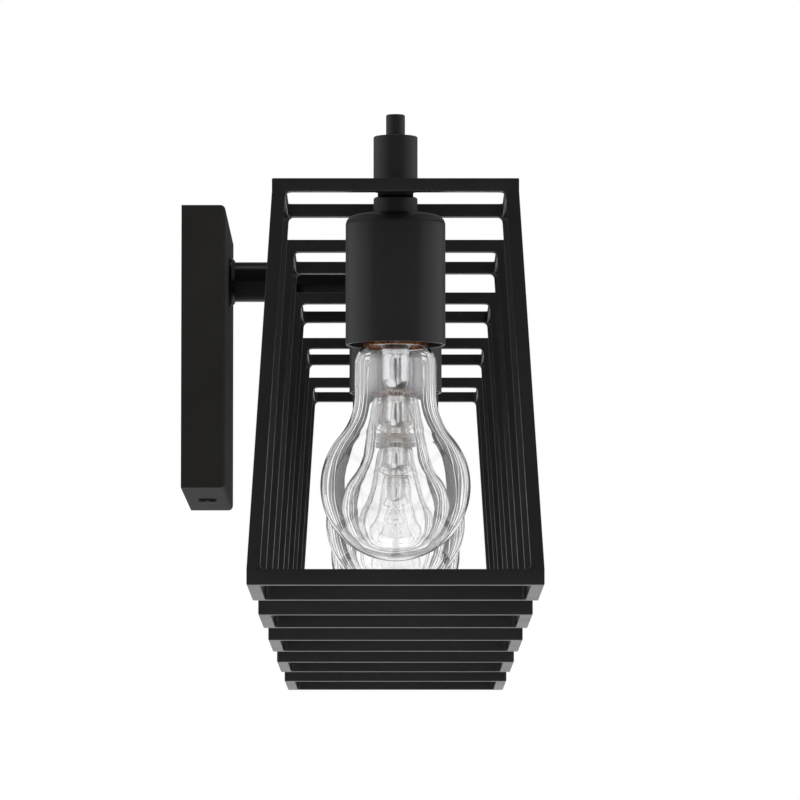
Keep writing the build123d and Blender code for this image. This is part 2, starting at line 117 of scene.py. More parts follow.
@named
class VanityMetalSizes(bpy.types.PropertyGroup):
    """Sizes of the painted pieces that their boxes in the frame don't give."""

    cage_top: length("Outside of a cage's top ring", 97.0)
    bar: length("Square bars of the top ring and the posts", 5.2)
    foot_bar: length("Height of the bottom ring's bars", 6.2)
    bar_edge: length("Rounding of the bars", 0.45)
    weld: length("Rounding between the bars", 2.0)
    strap_width: length("Width of the strap across the top", 14.2)
    strap: length("Thickness of the strap", 2.4)
    strap_sink: length("Strap's ends in the top ring", 0.4)
    strap_edge: length("Rounding of the strap", 0.3)
    cup_wall: length("Wall of the socket cups", 1.2)
    cup_shoulder: length("Rounding of a cup's shoulder", 4.0)
    cup_lip: length("Rounding of a cup's mouth and a cap's foot", 0.3)
    stem_hole: length("Radius of the hole in a cup's top", 5.1)
    cap_edge: length("Rounding of a socket cap's top", 0.8)
    hub_edge: length("Rounding of a hub", 0.5)
    hub_seat: length("From the middle hub's axis to the arm's seat", 8.35)
    finial_edge: length("Rounding of a finial's top", 0.6)
    finial_neck: length("Groove between finial and hub", 0.35)
    tube_sink: length("Cross tube's end in its hub", 2.0)
    flange_chamfer: length("Chamfer of the arm's flange", 1.4)
    flange_gap: length("Gap between flange and arm", 0.1)
    turned_edge: length("Rounding of tubes, arm and flange", 0.25)


@named
class VanityPlateSizes(bpy.types.PropertyGroup):
    """Sizes of the back plate and its screws that their boxes in the frame don't give."""

    wall: length("Sheet of the back plate", 1.2)
    front_edge: length("Rounding round the plate's front", 2.2)
    corner: length("Rounding of the plate's four corners", 0.4)
    screw_thread: length("Diameter of the canopy screws", 4.0)
    screw_pitch: length("Pitch of the canopy screws", 0.7)
    screw_groove: length("Depth of the canopy screws' threads", 0.42)
    screw_tail: length("Canopy screws past the ears' outside", 5.0)
    head: length("Height of a canopy screw's head", 1.4)
    head_edge: length("Rounding of a screw head", 0.6)
    drive_width: length("Width of a screw head's slot", 1.2)
    drive_depth: length("Depth of a screw head's slot", 0.7)


@named
class VanityBulbSizes(bpy.types.PropertyGroup):
    """Sizes of a bulb that its boxes in the frame don't give."""

    wall: length("Wall of the glass", 0.7)
    seal_inset: length("Glass inside the base's edge", 0.1)
    neck_flare: length("Neck beyond the seal", 3.4)
    neck: length("Straight part of the neck", 11.7)
    shoulder: length("Rounding from the seal to the neck", 10.0)
    flank: length("Hollow rounding from the neck to the globe", 25.7)
    stem_tube: length("Diameter of the stem's tube", 10.6)
    stem_wall: length("Wall of the stem's tube", 1.1)
    stem_solid: length("Height of the stem's solid lower part", 13.0)
    stem_bend: length("Rounding from the stem's tube to its flare", 2.5)
    press: length("Height of the stem's flat press", 4.0)
    press_width: length("Thickness of the press's lower end", 3.4)
    press_end: length("Rounding of the press's lower end", 1.2)
    press_turn: angle("Turn of the press and its wires from the row", 45.0)
    flare: length("Thickness of the stem's flare", 1.0)
    wire: length("Diameter of the lead wires", 0.4)
    support: length("Diameter of the filament's support wires", 0.2)
    foot: length("Lead feet from the bulb's axis", 3.5)
    spread: length("Lead tips from the bulb's axis", 11.0)
    bead: length("Diameter of the metal beads in the press", 1.2)
    tip_bead: length("Diameter of the beads at the wires' tips", 0.46)
    filament: length("Diameter of the filament's coil", 0.4)
    filament_wire: length("Diameter of the wire in the coil", 0.1)
    filament_pitch: length("From turn to turn of the coil", 0.3)
    filament_sag: length("Drop of the filament at its supports", 2.5)
    thread: length("Height of the base's threaded part", 19.0)
    thread_pitch: length("From ridge to ridge of the base", 3.63)
    thread_depth: length("Depth of the base's grooves", 0.7)
    shell: length("Wall of the base's shell", 0.8)
    cone: length("Insulator between thread and tip", 4.6)
    tip: length("Diameter of the base's tip", 9.5)
    tip_edge: length("Rounding of the base's tip", 0.7)


@named
class VanityFinish(bpy.types.PropertyGroup):
    """Colours and textures of the finishes."""

    black: colour("Satin black coat", (0.0045, 0.0045, 0.0049))
    black_worn: colour("Where the coat is thin", (0.0078, 0.0078, 0.0082))
    coat_roughness: share("Roughness of the satin coat", 0.36)
    coat_shine: share("Shine of the satin coat", 0.35)
    # painted shade: the arm's two coat colours are darker copies of the satin black, standing in for the
    # shade of the arm's dark surroundings
    shaded_arm_black: colour("Glossy coat of the arm", (0.0030, 0.0030, 0.0032))
    shaded_arm_worn: colour("Where the arm's coat is thin", (0.0050, 0.0050, 0.0052))
    arm_roughness: share("Roughness of the arm's coat", 0.2)
    arm_shine: share("Shine of the arm's coat", 0.09)
    plate_black: colour("Dull coat of the plate", (0.0125, 0.0123, 0.0122))
    plate_worn: colour("Where the plate's coat is thin", (0.0185, 0.0182, 0.0179))
    plate_roughness: share("Roughness of the plate's coat", 0.75)
    plate_shine: share("Shine of the plate's coat", 0.2)
    # painted reflection: the warm tint of the plate's shine stands in for a warm wall that the plate
    # reflects
    painted_warm_reflection: colour("Colour of the plate's shine", (1.0, 0.92, 0.84))
    coat_grain: length("Size of the coat's grain", 0.4)
    coat_relief: length("Height of the coat's grain", 0.03)
    zinc: colour("Plated steel", (0.5, 0.51, 0.53))
    zinc_dull: colour("Plated steel in its spangles", (0.34, 0.36, 0.39))
    green: colour("Ground screw", (0.035, 0.2, 0.075))
    brass: colour("Bright parts of the bulbs' bases", (0.54, 0.21, 0.07))
    brass_tarnish: colour("Dull parts of the bulbs' bases", (0.10, 0.028, 0.009))
    holder: colour("Moulded lampholders", (0.022, 0.02, 0.019))
    insulator: colour("Dark glass round a base's tip", (0.012, 0.011, 0.014))
    wire: colour("Lead wires", (0.55, 0.47, 0.36))
    bead: colour("Brown oxide on the lead wires", (0.32, 0.19, 0.08))
    glass: colour("Clear glass", WHITE)
    stem_streak: colour("Streaks in the stem's glass", (0.8, 0.8, 0.82))
    haze: colour("Pale film in a bulb's neck", (0.97, 0.97, 1.0))
    haze_amount: share("How much of the neck's light the film holds", 0.21)
    haze_reach: share("Film's share of the glass's height", 0.24)


@named
class VanityStage(bpy.types.PropertyGroup):
    """Floor, light and camera."""

    floor_drop: length("Floor below the plate's centre", 1900.0)
    floor_side: length("Side of the floor", 40000.0)
    floor: colour("Pale floor", (0.9, 0.9, 0.9))
    floor_shown: share("White of the floor to the eye, glass and gloss", 0.9)
    end_level: share("Light in gloss from beyond the row's ends", 0.24)
    side_level: share("Light in gloss from wall and room", 1.0)
    fill_level: share("Even light from all round", 0.85)
    overhead_power: setting(FloatProperty, "Soft light above the row", 7.0, min=0.0, subtype="POWER")
    overhead_height: length("Soft light above the plate's centre", 2400.0)
    overhead_side: length("Side of the soft light", 900.0)
    camera_place: setting(
        FloatVectorProperty, "Where the camera stands", (-3.170, -0.0974, -0.278), size=3,
        subtype="TRANSLATION", unit="LENGTH"
    )
    camera_rise: angle("How far the camera looks up", 4.6866276)
    camera_turn: angle("How far the camera looks away from the wall", 0.03774978)
    camera_lens: setting(FloatProperty, "Focal length", 307.4, min=1.0, unit="CAMERA")
    camera_reach: length("How far the camera sees", 100000.0)


# Node trees

class Value:
    """A shader socket for Python arithmetic, in which each operation adds one Math node."""

    def __init__(self, nodes, socket):
        self.nodes = nodes
        self.socket = socket

    def math(self, operation, first, second):
        return self.nodes.add("ShaderNodeMath", {"operation": operation}, {0: first, 1: second})

    def __add__(self, other):
        return self.math("ADD", self, other)

    def __radd__(self, other):
        return self.math("ADD", other, self)

    def __sub__(self, other):
        return self.math("SUBTRACT", self, other)

    def __rsub__(self, other):
        return self.math("SUBTRACT", other, self)

    def __mul__(self, other):
        return self.math("MULTIPLY", self, other)

    def __rmul__(self, other):
        return self.math("MULTIPLY", other, self)

    def swing(self, amount):
        """The pattern as a change to both sides of nothing."""
        return (self - 0.5) * amount


class Nodes:
    """The node tree of one finish, with one way to add a node."""

    def __init__(self, tree):
        self.tree = tree
        tree.nodes.clear()

    def add(self, kind, settings=None, sockets=None, output=0):
        """Adds a node, sets it up, fills or links its sockets and gives one of its outputs."""
        node = self.tree.nodes.new(kind)
        for name, value in (settings or {}).items():
            setattr(node, name, value)
        for name, value in (sockets or {}).items():
            if isinstance(value, Value):
                self.tree.links.new(value.socket, node.inputs[name])
            else:
                node.inputs[name].default_value = value
        return Value(self, node.outputs[output]) if node.outputs else None

    def place(self):
        """Where a point is on the piece, in metres."""
        return self.add("ShaderNodeTexCoord", output="Object")

    def part(self, vector, axis):
        """One part of a place or a direction."""
        return self.add("ShaderNodeSeparateXYZ", None, {"Vector": vector}, axis)

    def stretched(self, where, rise):
        """A place with its height multiplied, which draws a pattern out or packs it."""
        return self.add("ShaderNodeMapping", None, {"Vector": where, "Scale": (1.0, 1.0, rise)}, "Vector")

    def noise(self, where, size, detail=2.0, roughness=0.5):
        """Cloudy pattern whose patches are about one size across."""
        sockets = {"Vector": where, "Scale": 1 / size, "Detail": detail, "Roughness": roughness}
        return self.add("ShaderNodeTexNoise", None, sockets, "Fac")

    def spread(self, value, low, high, to_low=0.0, to_high=1.0):
        """Stretches a range of values to another one and stops at its ends."""
        sockets = {"Value": value, "From Min": low, "From Max": high, "To Min": to_low, "To Max": to_high}
        return self.add("ShaderNodeMapRange", {"clamp": True}, sockets)

    def blend(self, factor, first, second):
        """A colour between two colours."""
        sockets = {0: factor, 6: opaque(first), 7: opaque(second)}
        return self.add("ShaderNodeMix", {"data_type": "RGBA"}, sockets, 2)

    def mixed(self, factor, first, second):
        """A shader between two shaders."""
        return self.add("ShaderNodeMixShader", None, {0: factor, 1: first, 2: second})

    def relief(self, height, distance):
        """A bump of one height."""
        return self.add("ShaderNodeBump", None, {"Height": height, "Distance": distance})

    def rays(self):
        """Whether a ray comes from the camera, through glass or off gloss."""
        kinds = ("Camera", "Transmission", "Glossy")
        return [self.add("ShaderNodeLightPath", output=f"Is {kind} Ray") for kind in kinds]

    def principled(self, sockets):
        """The shader that most finishes use."""
        return self.add("ShaderNodeBsdfPrincipled", None, sockets)

    def surface(self, shader):
        """Ends a material with its shader."""
        self.add("ShaderNodeOutputMaterial", None, {"Surface": shader})


def opaque(shade):
    """A colour with full alpha."""
    return (*shade, 1.0)


def paler(shade, times):
    """A colour several times as bright."""
    return [min(1.0, times * part) for part in shade]


# Finishes

def coat(nodes, look, shades, roughness, shine, tint=WHITE):
    """Powder coat: a fine grain, and slow changes in its depth and its dullness."""
    where = nodes.place()
    grain = nodes.noise(where, look.coat_grain, detail=3.0, roughness=0.6)
    clouds = nodes.noise(where, 35 * MM, detail=3.0)
    thin = nodes.spread(clouds * 0.6 + grain * 0.4, 0.35, 0.65)
    nodes.surface(nodes.principled({
        "Base Color": nodes.blend(thin, *shades),
        "Roughness": roughness + clouds.swing(0.12) + grain.swing(0.16),
        "Specular IOR Level": shine,
        "Specular Tint": opaque(tint),
        "Normal": nodes.relief(grain, look.coat_relief),
    }))


def satin_black(nodes, look):
    """Coat of the cages, cups, hubs and tubes."""
    coat(nodes, look, (look.black, look.black_worn), look.coat_roughness, look.coat_shine)


def shaded_arm_black(nodes, look):
    """Smoother coat of the arm and its flange. Its colours are darker than the cages' coat; that darkness
    is painted shade, for the dark surroundings that the arm reflects.
    """
    coat(nodes, look, (look.shaded_arm_black, look.shaded_arm_worn), look.arm_roughness, look.arm_shine)


def plate_black(nodes, look):
    """Duller coat of the back plate and its screws, a little warm in colour. Its shine is tinted warm as a
    painted reflection of a warm wall.
    """
    shades = look.plate_black, look.plate_worn
    coat(nodes, look, shades, look.plate_roughness, look.plate_shine, look.painted_warm_reflection)


def plated_steel(nodes, look):
    """Zinc plate with faint spangles and draw lines."""
    where = nodes.place()
    spangle = nodes.noise(where, 4 * MM)
    scratch = nodes.noise(nodes.stretched(where, 14.0), 6 * MM, detail=4.0)
    nodes.surface(nodes.principled({
        "Base Color": nodes.blend(nodes.spread(spangle, 0.35, 0.65), look.zinc_dull, look.zinc),
        "Metallic": 1.0,
        "Roughness": 0.34 + spangle.swing(0.2) + scratch.swing(0.15),
        "Normal": nodes.relief(scratch, 0.02 * MM),
    }))


def green_steel(nodes, look):
    """Green dye over zinc."""
    patches = nodes.noise(nodes.place(), 1.5 * MM, detail=3.0)
    rubbed = nodes.spread(patches, 0.3, 0.7)
    nodes.surface(nodes.principled({
        "Base Color": nodes.blend(rubbed, look.green, paler(look.green, 1.7)),
        "Metallic": 0.8,
        "Roughness": 0.3 + patches * 0.2,
        "Normal": nodes.relief(patches, 0.01 * MM),
    }))


def tarnished_brass(nodes, look):
    """Brass with brown tarnish in blotches and small bright rubs."""
    where = nodes.place()
    blotches = nodes.noise(where, 5 * MM, detail=4.0, roughness=0.6)
    specks = nodes.noise(where, 1.1 * MM)
    bright = nodes.spread(blotches * 0.5 + specks * 0.5, 0.44, 0.58)
    nodes.surface(nodes.principled({
        "Base Color": nodes.blend(bright, look.brass_tarnish, look.brass),
        "Metallic": 0.85,
        "Roughness": 0.42 - bright * 0.2,
        "Normal": nodes.relief(specks, 0.03 * MM),
    }))


def moulded_dark(nodes, look):
    """Moulded insulating plastic with a faint flow pattern."""
    where = nodes.place()
    flow = nodes.noise(where, 6 * MM, detail=3.0)
    pores = nodes.noise(where, 0.5 * MM)
    nodes.surface(nodes.principled({
        "Base Color": nodes.blend(flow, look.holder, paler(look.holder, 1.6)),
        "Roughness": 0.5 + pores.swing(0.3),
        "Normal": nodes.relief(pores, 0.03 * MM),
    }))


def insulator_glass(nodes, look):
    """Dark vitreous insulator of a bulb's base."""
    swirl = nodes.noise(nodes.place(), 3 * MM, detail=3.0)
    nodes.surface(nodes.principled({
        "Base Color": nodes.blend(swirl, look.insulator, paler(look.insulator, 2.0)),
        "Roughness": 0.12 + swirl * 0.12,
        "Normal": nodes.relief(swirl, 0.05 * MM),
    }))


def clear_glass(nodes, look):
    """Blown glass with slow ripples and a pale film inside the neck, round the stem."""
    low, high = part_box("bulb_glass_1")
    neck_end = high.z - look.haze_reach * (high.z - low.z)
    where = nodes.place()
    height = nodes.part(where, "Z")
    above_globe = nodes.spread(height, neck_end, neck_end + 6 * MM)
    below_seal = nodes.spread(height, high.z - 2 * MM, high.z - 5 * MM)
    ripple = nodes.noise(where, 22 * MM, detail=1.0, roughness=0.4)
    clear = {"Transmission Weight": 1.0, "Normal": nodes.relief(ripple, 0.6 * MM)}
    glass = nodes.principled({"Base Color": opaque(look.glass), "Roughness": 0.0, "IOR": 1.48, **clear})
    haze = nodes.principled({"Base Color": opaque(look.haze), "Roughness": 0.35, "IOR": 1.1, **clear})
    nodes.surface(nodes.mixed(above_globe * below_seal * look.haze_amount, glass, haze))


def stem_glass(nodes, look):
    """Softer glass of the stem, drawn into faint lengthwise streaks."""
    streaks = nodes.noise(nodes.stretched(nodes.place(), 0.08), 1.6 * MM)
    even = nodes.spread(streaks, 0.4, 0.6)
    nodes.surface(nodes.principled({
        "Base Color": nodes.blend(even, look.stem_streak, look.glass),
        "Roughness": 0.06 + streaks * 0.12,
        "IOR": 1.45,
        "Transmission Weight": 1.0,
        "Normal": nodes.relief(streaks, 0.2 * MM),
    }))


def drawn_wire(nodes, look):
    """Lead and filament wire, browned where it was heated."""
    heat = nodes.noise(nodes.place(), 4 * MM, detail=3.0)
    nodes.surface(nodes.principled({
        "Base Color": nodes.blend(nodes.spread(heat, 0.35, 0.6), look.bead, look.wire),
        "Metallic": 0.9,
        "Roughness": 0.28 + heat * 0.2,
    }))


FINISHES = {
    "satin_black_coat": satin_black,
    "shaded_arm_black_coat": shaded_arm_black,
    "plate_black_coat": plate_black,
    "plated_steel": plated_steel,
    "green_steel": green_steel,
    "tarnished_brass": tarnished_brass,
    "moulded_dark": moulded_dark,
    "insulator_glass": insulator_glass,
    "clear_blown_glass": clear_glass,
    "drawn_stem_glass": stem_glass,
    "drawn_wire": drawn_wire,
}


def finish(name):
    """The material of that name, made when it is first asked for."""
    made = bpy.data.materials.get(name)
    if made is None:
        made = bpy.data.materials.new(name)
        made.use_nodes = True
        FINISHES[name](Nodes(made.node_tree), bpy.context.scene.vanity_finish)
    return made


# Shapes

def everything(shape):
    """All the points, edges and faces of a shape."""
    return [*shape.verts, *shape.edges, *shape.faces]


def only(kind, parts):
    """The parts of a shape that are of one kind."""
    return [part for part in parts if isinstance(part, kind)]


def with_borders(faces):
    """Faces with their edges and points, each once."""
    return list({part for face in faces for part in (face, *face.edges, *face.verts)})


def block(shape, size, place):
    """Adds a block of one size at a place, and gives its points."""
    points = bmesh.ops.create_cube(shape, size=1.0)["verts"]
    bmesh.ops.scale(shape, vec=size, verts=points)
    bmesh.ops.translate(shape, vec=place, verts=points)
    return points


def arc(centre, radius, start, end, steps):
    """Points of an outline on a round stretch in degrees: distances from the axis and heights."""
    angles = [math.radians(start + (end - start) * step / steps) for step in range(steps + 1)]
    return [(centre[0] + radius * math.cos(a), centre[1] + radius * math.sin(a)) for a in angles]


def turned(outline, closed=False, steps=ROUND_STEPS):
    """Round form about the Z axis, made by turning an outline."""
    shape = bmesh.new()
    points = [shape.verts.new((away, 0, height)) for away, height in outline]
    pairs = list(zip(points, points[1:]))
    if closed:
        pairs.append((points[-1], points[0]))
    edges = [shape.edges.new(pair) for pair in pairs]
    bmesh.ops.spin(
        shape, geom=points + edges, cent=(0, 0, 0), axis=UP, angle=math.tau, steps=steps, use_merge=True
    )
    bmesh.ops.remove_doubles(shape, verts=shape.verts, dist=TOUCH)
    bmesh.ops.recalc_face_normals(shape, faces=shape.faces)
    return shape


def rounded_bar(radius, low, high, low_edge, high_edge):
    """Outline of a round bar with rounded ends, from its lower end to its upper end."""
    return [
        (0, low),
        *arc((radius - low_edge, low + low_edge), low_edge, -90, 0, steps=5),
        *arc((radius - high_edge, high - high_edge), high_edge, 0, 90, steps=5),
        (0, high),
    ]


def moved(shape, place):
    """The shape at a place."""
    bmesh.ops.translate(shape, vec=place, verts=shape.verts)
    return shape


def rotated(shape, turn, axis):
    """The shape turned about one of the frame's axes."""
    matrix = Matrix.Rotation(turn, 3, axis)
    bmesh.ops.rotate(shape, cent=(0, 0, 0), matrix=matrix, verts=shape.verts)
    return shape


def at_lamps(shape):
    """The shape at every lamp."""
    original = everything(shape)
    for number in LAMPS[1:]:
        copy = bmesh.ops.duplicate(shape, geom=original)["geom"]
        bmesh.ops.translate(shape, vec=lamp_axis(number), verts=only(BMVert, copy))
    bmesh.ops.translate(shape, vec=lamp_axis(LAMPS[0]), verts=only(BMVert, original))
    return shape


def join(shape, other):
    """Adds another shape to a shape and uses it up."""
    loose = bpy.data.meshes.new("loose")
    other.to_mesh(loose)
    other.free()
    shape.from_mesh(loose)
    bpy.data.meshes.remove(loose)


def round_edges(shape, edges, radius, steps):
    """Rounds edges, which fills hollow corners and breaks outer ones."""
    bmesh.ops.bevel(
        shape, geom=edges, offset=radius, offset_type="OFFSET", segments=steps, profile=0.5,
        affect="EDGES", material=-1, clamp_overlap=False
    )
    bmesh.ops.remove_doubles(shape, verts=shape.verts, dist=TOUCH)


def from_to(start, end, share_of_run):
    """Matrix that stands a Z axis along a run, at a share of its length."""
    run = end - start
    upright = run.to_track_quat("Z", "Y").to_matrix().to_4x4()
    return Matrix.Translation(start + run * share_of_run) @ upright


def rod(shape, start, end, radius):
    """Adds a straight wire between two points."""
    bmesh.ops.create_cone(
        shape, cap_ends=True, segments=WIRE_STEPS, radius1=radius, radius2=radius,
        depth=(end - start).length, matrix=from_to(start, end, 0.5)
    )


def coil(shape, start, end, radius, wire, pitch):
    """Adds a coiled wire between two points."""
    reach = (end - start).length
    turns = round(reach / pitch)
    steps = turns * WIRE_STEPS
    before = set(shape.verts)
    section = Matrix.Translation((radius, 0, 0)) @ Matrix.Rotation(QUARTER, 4, "X")
    ring = bmesh.ops.create_circle(shape, segments=COIL_STEPS, radius=wire / 2, matrix=section)["verts"]
    edges = {edge for point in ring for edge in point.link_edges}
    bmesh.ops.spin(
        shape, geom=ring + list(edges), cent=(0, 0, 0), axis=UP, dvec=(0, 0, reach / steps),
        angle=math.tau * turns, steps=steps
    )
    made = [point for point in shape.verts if point not in before]
    open_edges = {edge for point in made for edge in point.link_edges if edge.is_boundary}
    bmesh.ops.holes_fill(shape, edges=list(open_edges))
    bmesh.ops.transform(shape, matrix=from_to(start, end, 0), verts=made)
    faces = {face for point in made for face in point.link_faces}
    bmesh.ops.recalc_face_normals(shape, faces=list(faces))


# Pieces

def add_piece(name, shape, materials, slot, body, *nodes):
    """Makes a shape a piece that rides on a body and stands for nodes of the frame."""
    mesh = bpy.data.meshes.new(name)
    for face in shape.faces:
        face.smooth = True
    shape.to_mesh(mesh)
    shape.free()
    mesh.set_sharp_from_angle(angle=SMOOTH_ANGLE)
    for material in materials:
        mesh.materials.append(finish(material))
    piece = bpy.data.objects.new(name, mesh)
    bpy.context.scene.collection.objects.link(piece)
    if slot == "black_metal":
        flat_faces = piece.modifiers.new("flat_faces", "WEIGHTED_NORMAL")
        flat_faces.keep_sharp = True
    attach(piece, body)
    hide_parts(*nodes)


def add_painted(name, shape, node, coating="satin_black_coat"):
    """Makes a shape a painted piece of the fixture."""
    add_piece(name, shape, [coating], "black_metal", "fixture", node)


def refinish(node, material):
    """Gives a node of the frame its finish."""
    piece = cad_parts[node]
    if not piece.material_slots:
        piece.data.materials.append(None)
    for place in piece.material_slots:
        place.material = finish(material)


def lamp_axis(number):
    """Where a lamp's upright axis crosses the level of the plate's centre."""
    low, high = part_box(f"socket_cup_{number}")
    return Vector(((low.x + high.x) / 2, (low.y + high.y) / 2, 0))


# Cages

def side_faces(shape, out, low, high):
    """The faces of the leaning sides that look one way, between two heights."""
    return [
        face for face in shape.faces
        if face.normal.dot(out) > FACING and low < face.calc_center_median().z < high
    ]


def cage_frame(sizes, low, high):
    """Two square rings and four leaning posts about the Z axis, in one welded frame."""
    foot = (high.x - low.x) / 2
    head = sizes.cage_top / 2
    ring_low = low.z + sizes.foot_bar
    ring_high = high.z - sizes.bar
    shape = bmesh.new()
    block(shape, (2 * foot, 2 * foot, high.z - low.z), (0, 0, (low.z + high.z) / 2))
    for level in (ring_low, ring_high):
        bmesh.ops.bisect_plane(shape, geom=everything(shape), plane_co=(0, 0, level), plane_no=UP)
    top = [point for point in shape.verts if point.co.z > ring_high - TOUCH]
    bmesh.ops.scale(shape, vec=(head / foot, head / foot, 1), verts=top)
    shape.normal_update()

    openings = []
    for turn in range(4):
        out = Matrix.Rotation(turn * QUARTER, 3, "Z") @ Vector((0, -1, 0))
        along = UP.cross(out)
        for side in (-1, 1):
            line = side * (head - foot) * along + (ring_high - ring_low) * UP
            bmesh.ops.bisect_plane(
                shape, geom=with_borders(side_faces(shape, out, ring_low, ring_high)),
                plane_co=side * (foot - sizes.bar) * along + ring_low * UP, plane_no=line.cross(out)
            )
        openings.append(min(
            side_faces(shape, out, ring_low, ring_high),
            key=lambda face: abs(face.calc_center_median().dot(along))
        ))
    ends = [face for face in shape.faces if abs(face.normal.z) > FACING]
    bmesh.ops.inset_individual(shape, faces=ends, thickness=sizes.bar, use_even_offset=True)
    openings += ends

    inward = []
    for face in openings:
        way = Vector([round(part) for part in face.normal])
        inward.append(-way * (sizes.foot_bar if way.z < 0 else sizes.bar))
    pushed = bmesh.ops.extrude_discrete_faces(shape, faces=openings)["faces"]
    for face, step in zip(pushed, inward):
        bmesh.ops.translate(shape, vec=step, verts=face.verts)
    bmesh.ops.delete(shape, geom=pushed, context="FACES_ONLY")
    bmesh.ops.remove_doubles(shape, verts=shape.verts, dist=TOUCH)
    bmesh.ops.recalc_face_normals(shape, faces=shape.faces)

    hollow = [edge for edge in shape.edges if edge.calc_face_angle_signed() < HOLLOW_ANGLE]
    round_edges(shape, hollow, sizes.weld, steps=4)
    shape.normal_update()
    outer = [edge for edge in shape.edges if edge.calc_face_angle_signed() > OUTER_ANGLE]
    round_edges(shape, outer, sizes.bar_edge, steps=2)
    trim = foot / max(point.co.x for point in shape.verts)
    bmesh.ops.scale(shape, vec=(trim, trim, 1), verts=shape.verts)
    return shape


def add_strap(shape, sizes, top):
    """Adds the flat strap that carries the socket, along the row, level with a cage's top."""
    run = sizes.cage_top - 2 * sizes.bar + 2 * sizes.strap_sink
    points = block(shape, (run, sizes.strap_width, sizes.strap), (0, 0, top - sizes.strap / 2))
    edges = {edge for point in points for edge in point.link_edges}
    round_edges(shape, list(edges), sizes.strap_edge, steps=2)


class VANITY_OT_cages(bpy.types.Operator):
    """Build the five open cages"""

    bl_idname = "vanity.cages"
    bl_label = "Cages"

    def execute(self, context):
        sizes = context.scene.vanity_metal
        for number in LAMPS:
            low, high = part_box(f"cage_{number}")
            shape = cage_frame(sizes, low, high)
            add_strap(shape, sizes, high.z)
            moved(shape, lamp_axis(number))
            add_painted(f"cage_frame_{number}", shape, f"cage_{number}")
        return {"FINISHED"}


# Sockets

def cup_outline(sizes, low, high):
    """Closed outline of a cup's wall, from the hole in its top to the mouth and back inside."""
    outside = (high.x - low.x) / 2
    inside = outside - sizes.cup_wall
    roof = high.z - sizes.cup_wall
    outer = sizes.cup_shoulder
    inner = outer - sizes.cup_wall
    lip = sizes.cup_lip
    return [
        (sizes.stem_hole, roof),
        (sizes.stem_hole, high.z),
        *arc((outside - outer, high.z - outer), outer, 90, 0, steps=12),
        *arc((outside - lip, low.z + lip), lip, 0, -90, steps=4),
        *arc((inside + lip, low.z + lip), lip, -90, -180, steps=4),
        *arc((inside - inner, roof - inner), inner, 0, 90, steps=8),
    ]


class VANITY_OT_sockets(bpy.types.Operator):
    """Build the socket cups and the caps above them"""

    bl_idname = "vanity.sockets"
    bl_label = "Sockets"

    def execute(self, context):
        sizes = context.scene.vanity_metal
        for number in LAMPS:
            outline = cup_outline(sizes, *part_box(f"socket_cup_{number}"))
            cup = moved(turned(outline, closed=True), lamp_axis(number))
            add_painted(f"cup_{number}", cup, f"socket_cup_{number}")
        low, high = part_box("socket_caps")
        radius = (high.y - low.y) / 2
        cap = turned(rounded_bar(radius, low.z, high.z, sizes.cup_lip, sizes.cap_edge))
        add_painted("caps", at_lamps(cap), "socket_caps")
        return {"FINISHED"}


# Hubs, finials and tubes

def finial_outline(sizes, base, low, high):
    """Outline of a finial, from the groove above its hub to its top."""
    radius = (high.y - low.y) / 2
    neck = radius - sizes.finial_neck
    edge = sizes.finial_edge
    return [
        (0, base),
        (neck, base),
        (neck, base + sizes.finial_neck),
        (radius, base + 2 * sizes.finial_neck),
        *arc((radius - edge, high.z - edge), edge, 0, 90, steps=6),
        (0, high.z),
    ]


class VANITY_OT_hubs(bpy.types.Operator):
    """Build the hubs, the finials on them and the tubes between them"""

    bl_idname = "vanity.hubs"
    bl_label = "Hubs"

    def execute(self, context):
        sizes = context.scene.vanity_metal
        edge = sizes.hub_edge
        radii = {}
        for number in LAMPS:
            low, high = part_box(f"hub_{number}")
            axis = lamp_axis(number)
            radii[number] = axis.y - low.y
            hub = turned(rounded_bar(radii[number], low.z, high.z, edge, edge))
            if number == MIDDLE_LAMP:
                cut = bmesh.ops.bisect_plane(
                    hub, geom=everything(hub), plane_co=(0, sizes.hub_seat, 0),
                    plane_no=(0, 1, 0), clear_outer=True
                )["geom_cut"]
                bmesh.ops.holes_fill(hub, edges=only(BMEdge, cut))
            add_painted(f"row_hub_{number}", moved(hub, axis), f"hub_{number}")
        hub_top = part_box("hub_1")[1].z
        finial = turned(finial_outline(sizes, hub_top, *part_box("finials")))
        add_painted("finial_stubs", at_lamps(finial), "finials")
        self.add_tubes(sizes, radii)
        return {"FINISHED"}

    def add_tubes(self, sizes, radii):
        """Adds the tubes, which end inside the hubs."""
        low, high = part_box("cross_tubes")
        radius = (high.z - low.z) / 2
        level = (high.z + low.z) / 2
        edge = sizes.turned_edge
        tubes = bmesh.new()
        for number in LAMPS[:-1]:
            start = lamp_axis(number).x + radii[number] - sizes.tube_sink
            end = lamp_axis(number + 1).x - radii[number + 1] + sizes.tube_sink
            tube = rotated(turned(rounded_bar(radius, start, end, edge, edge)), QUARTER, "Y")
            join(tubes, moved(tube, (0, lamp_axis(number).y, level)))
        add_painted("row_tubes", tubes, "cross_tubes")


# Arm

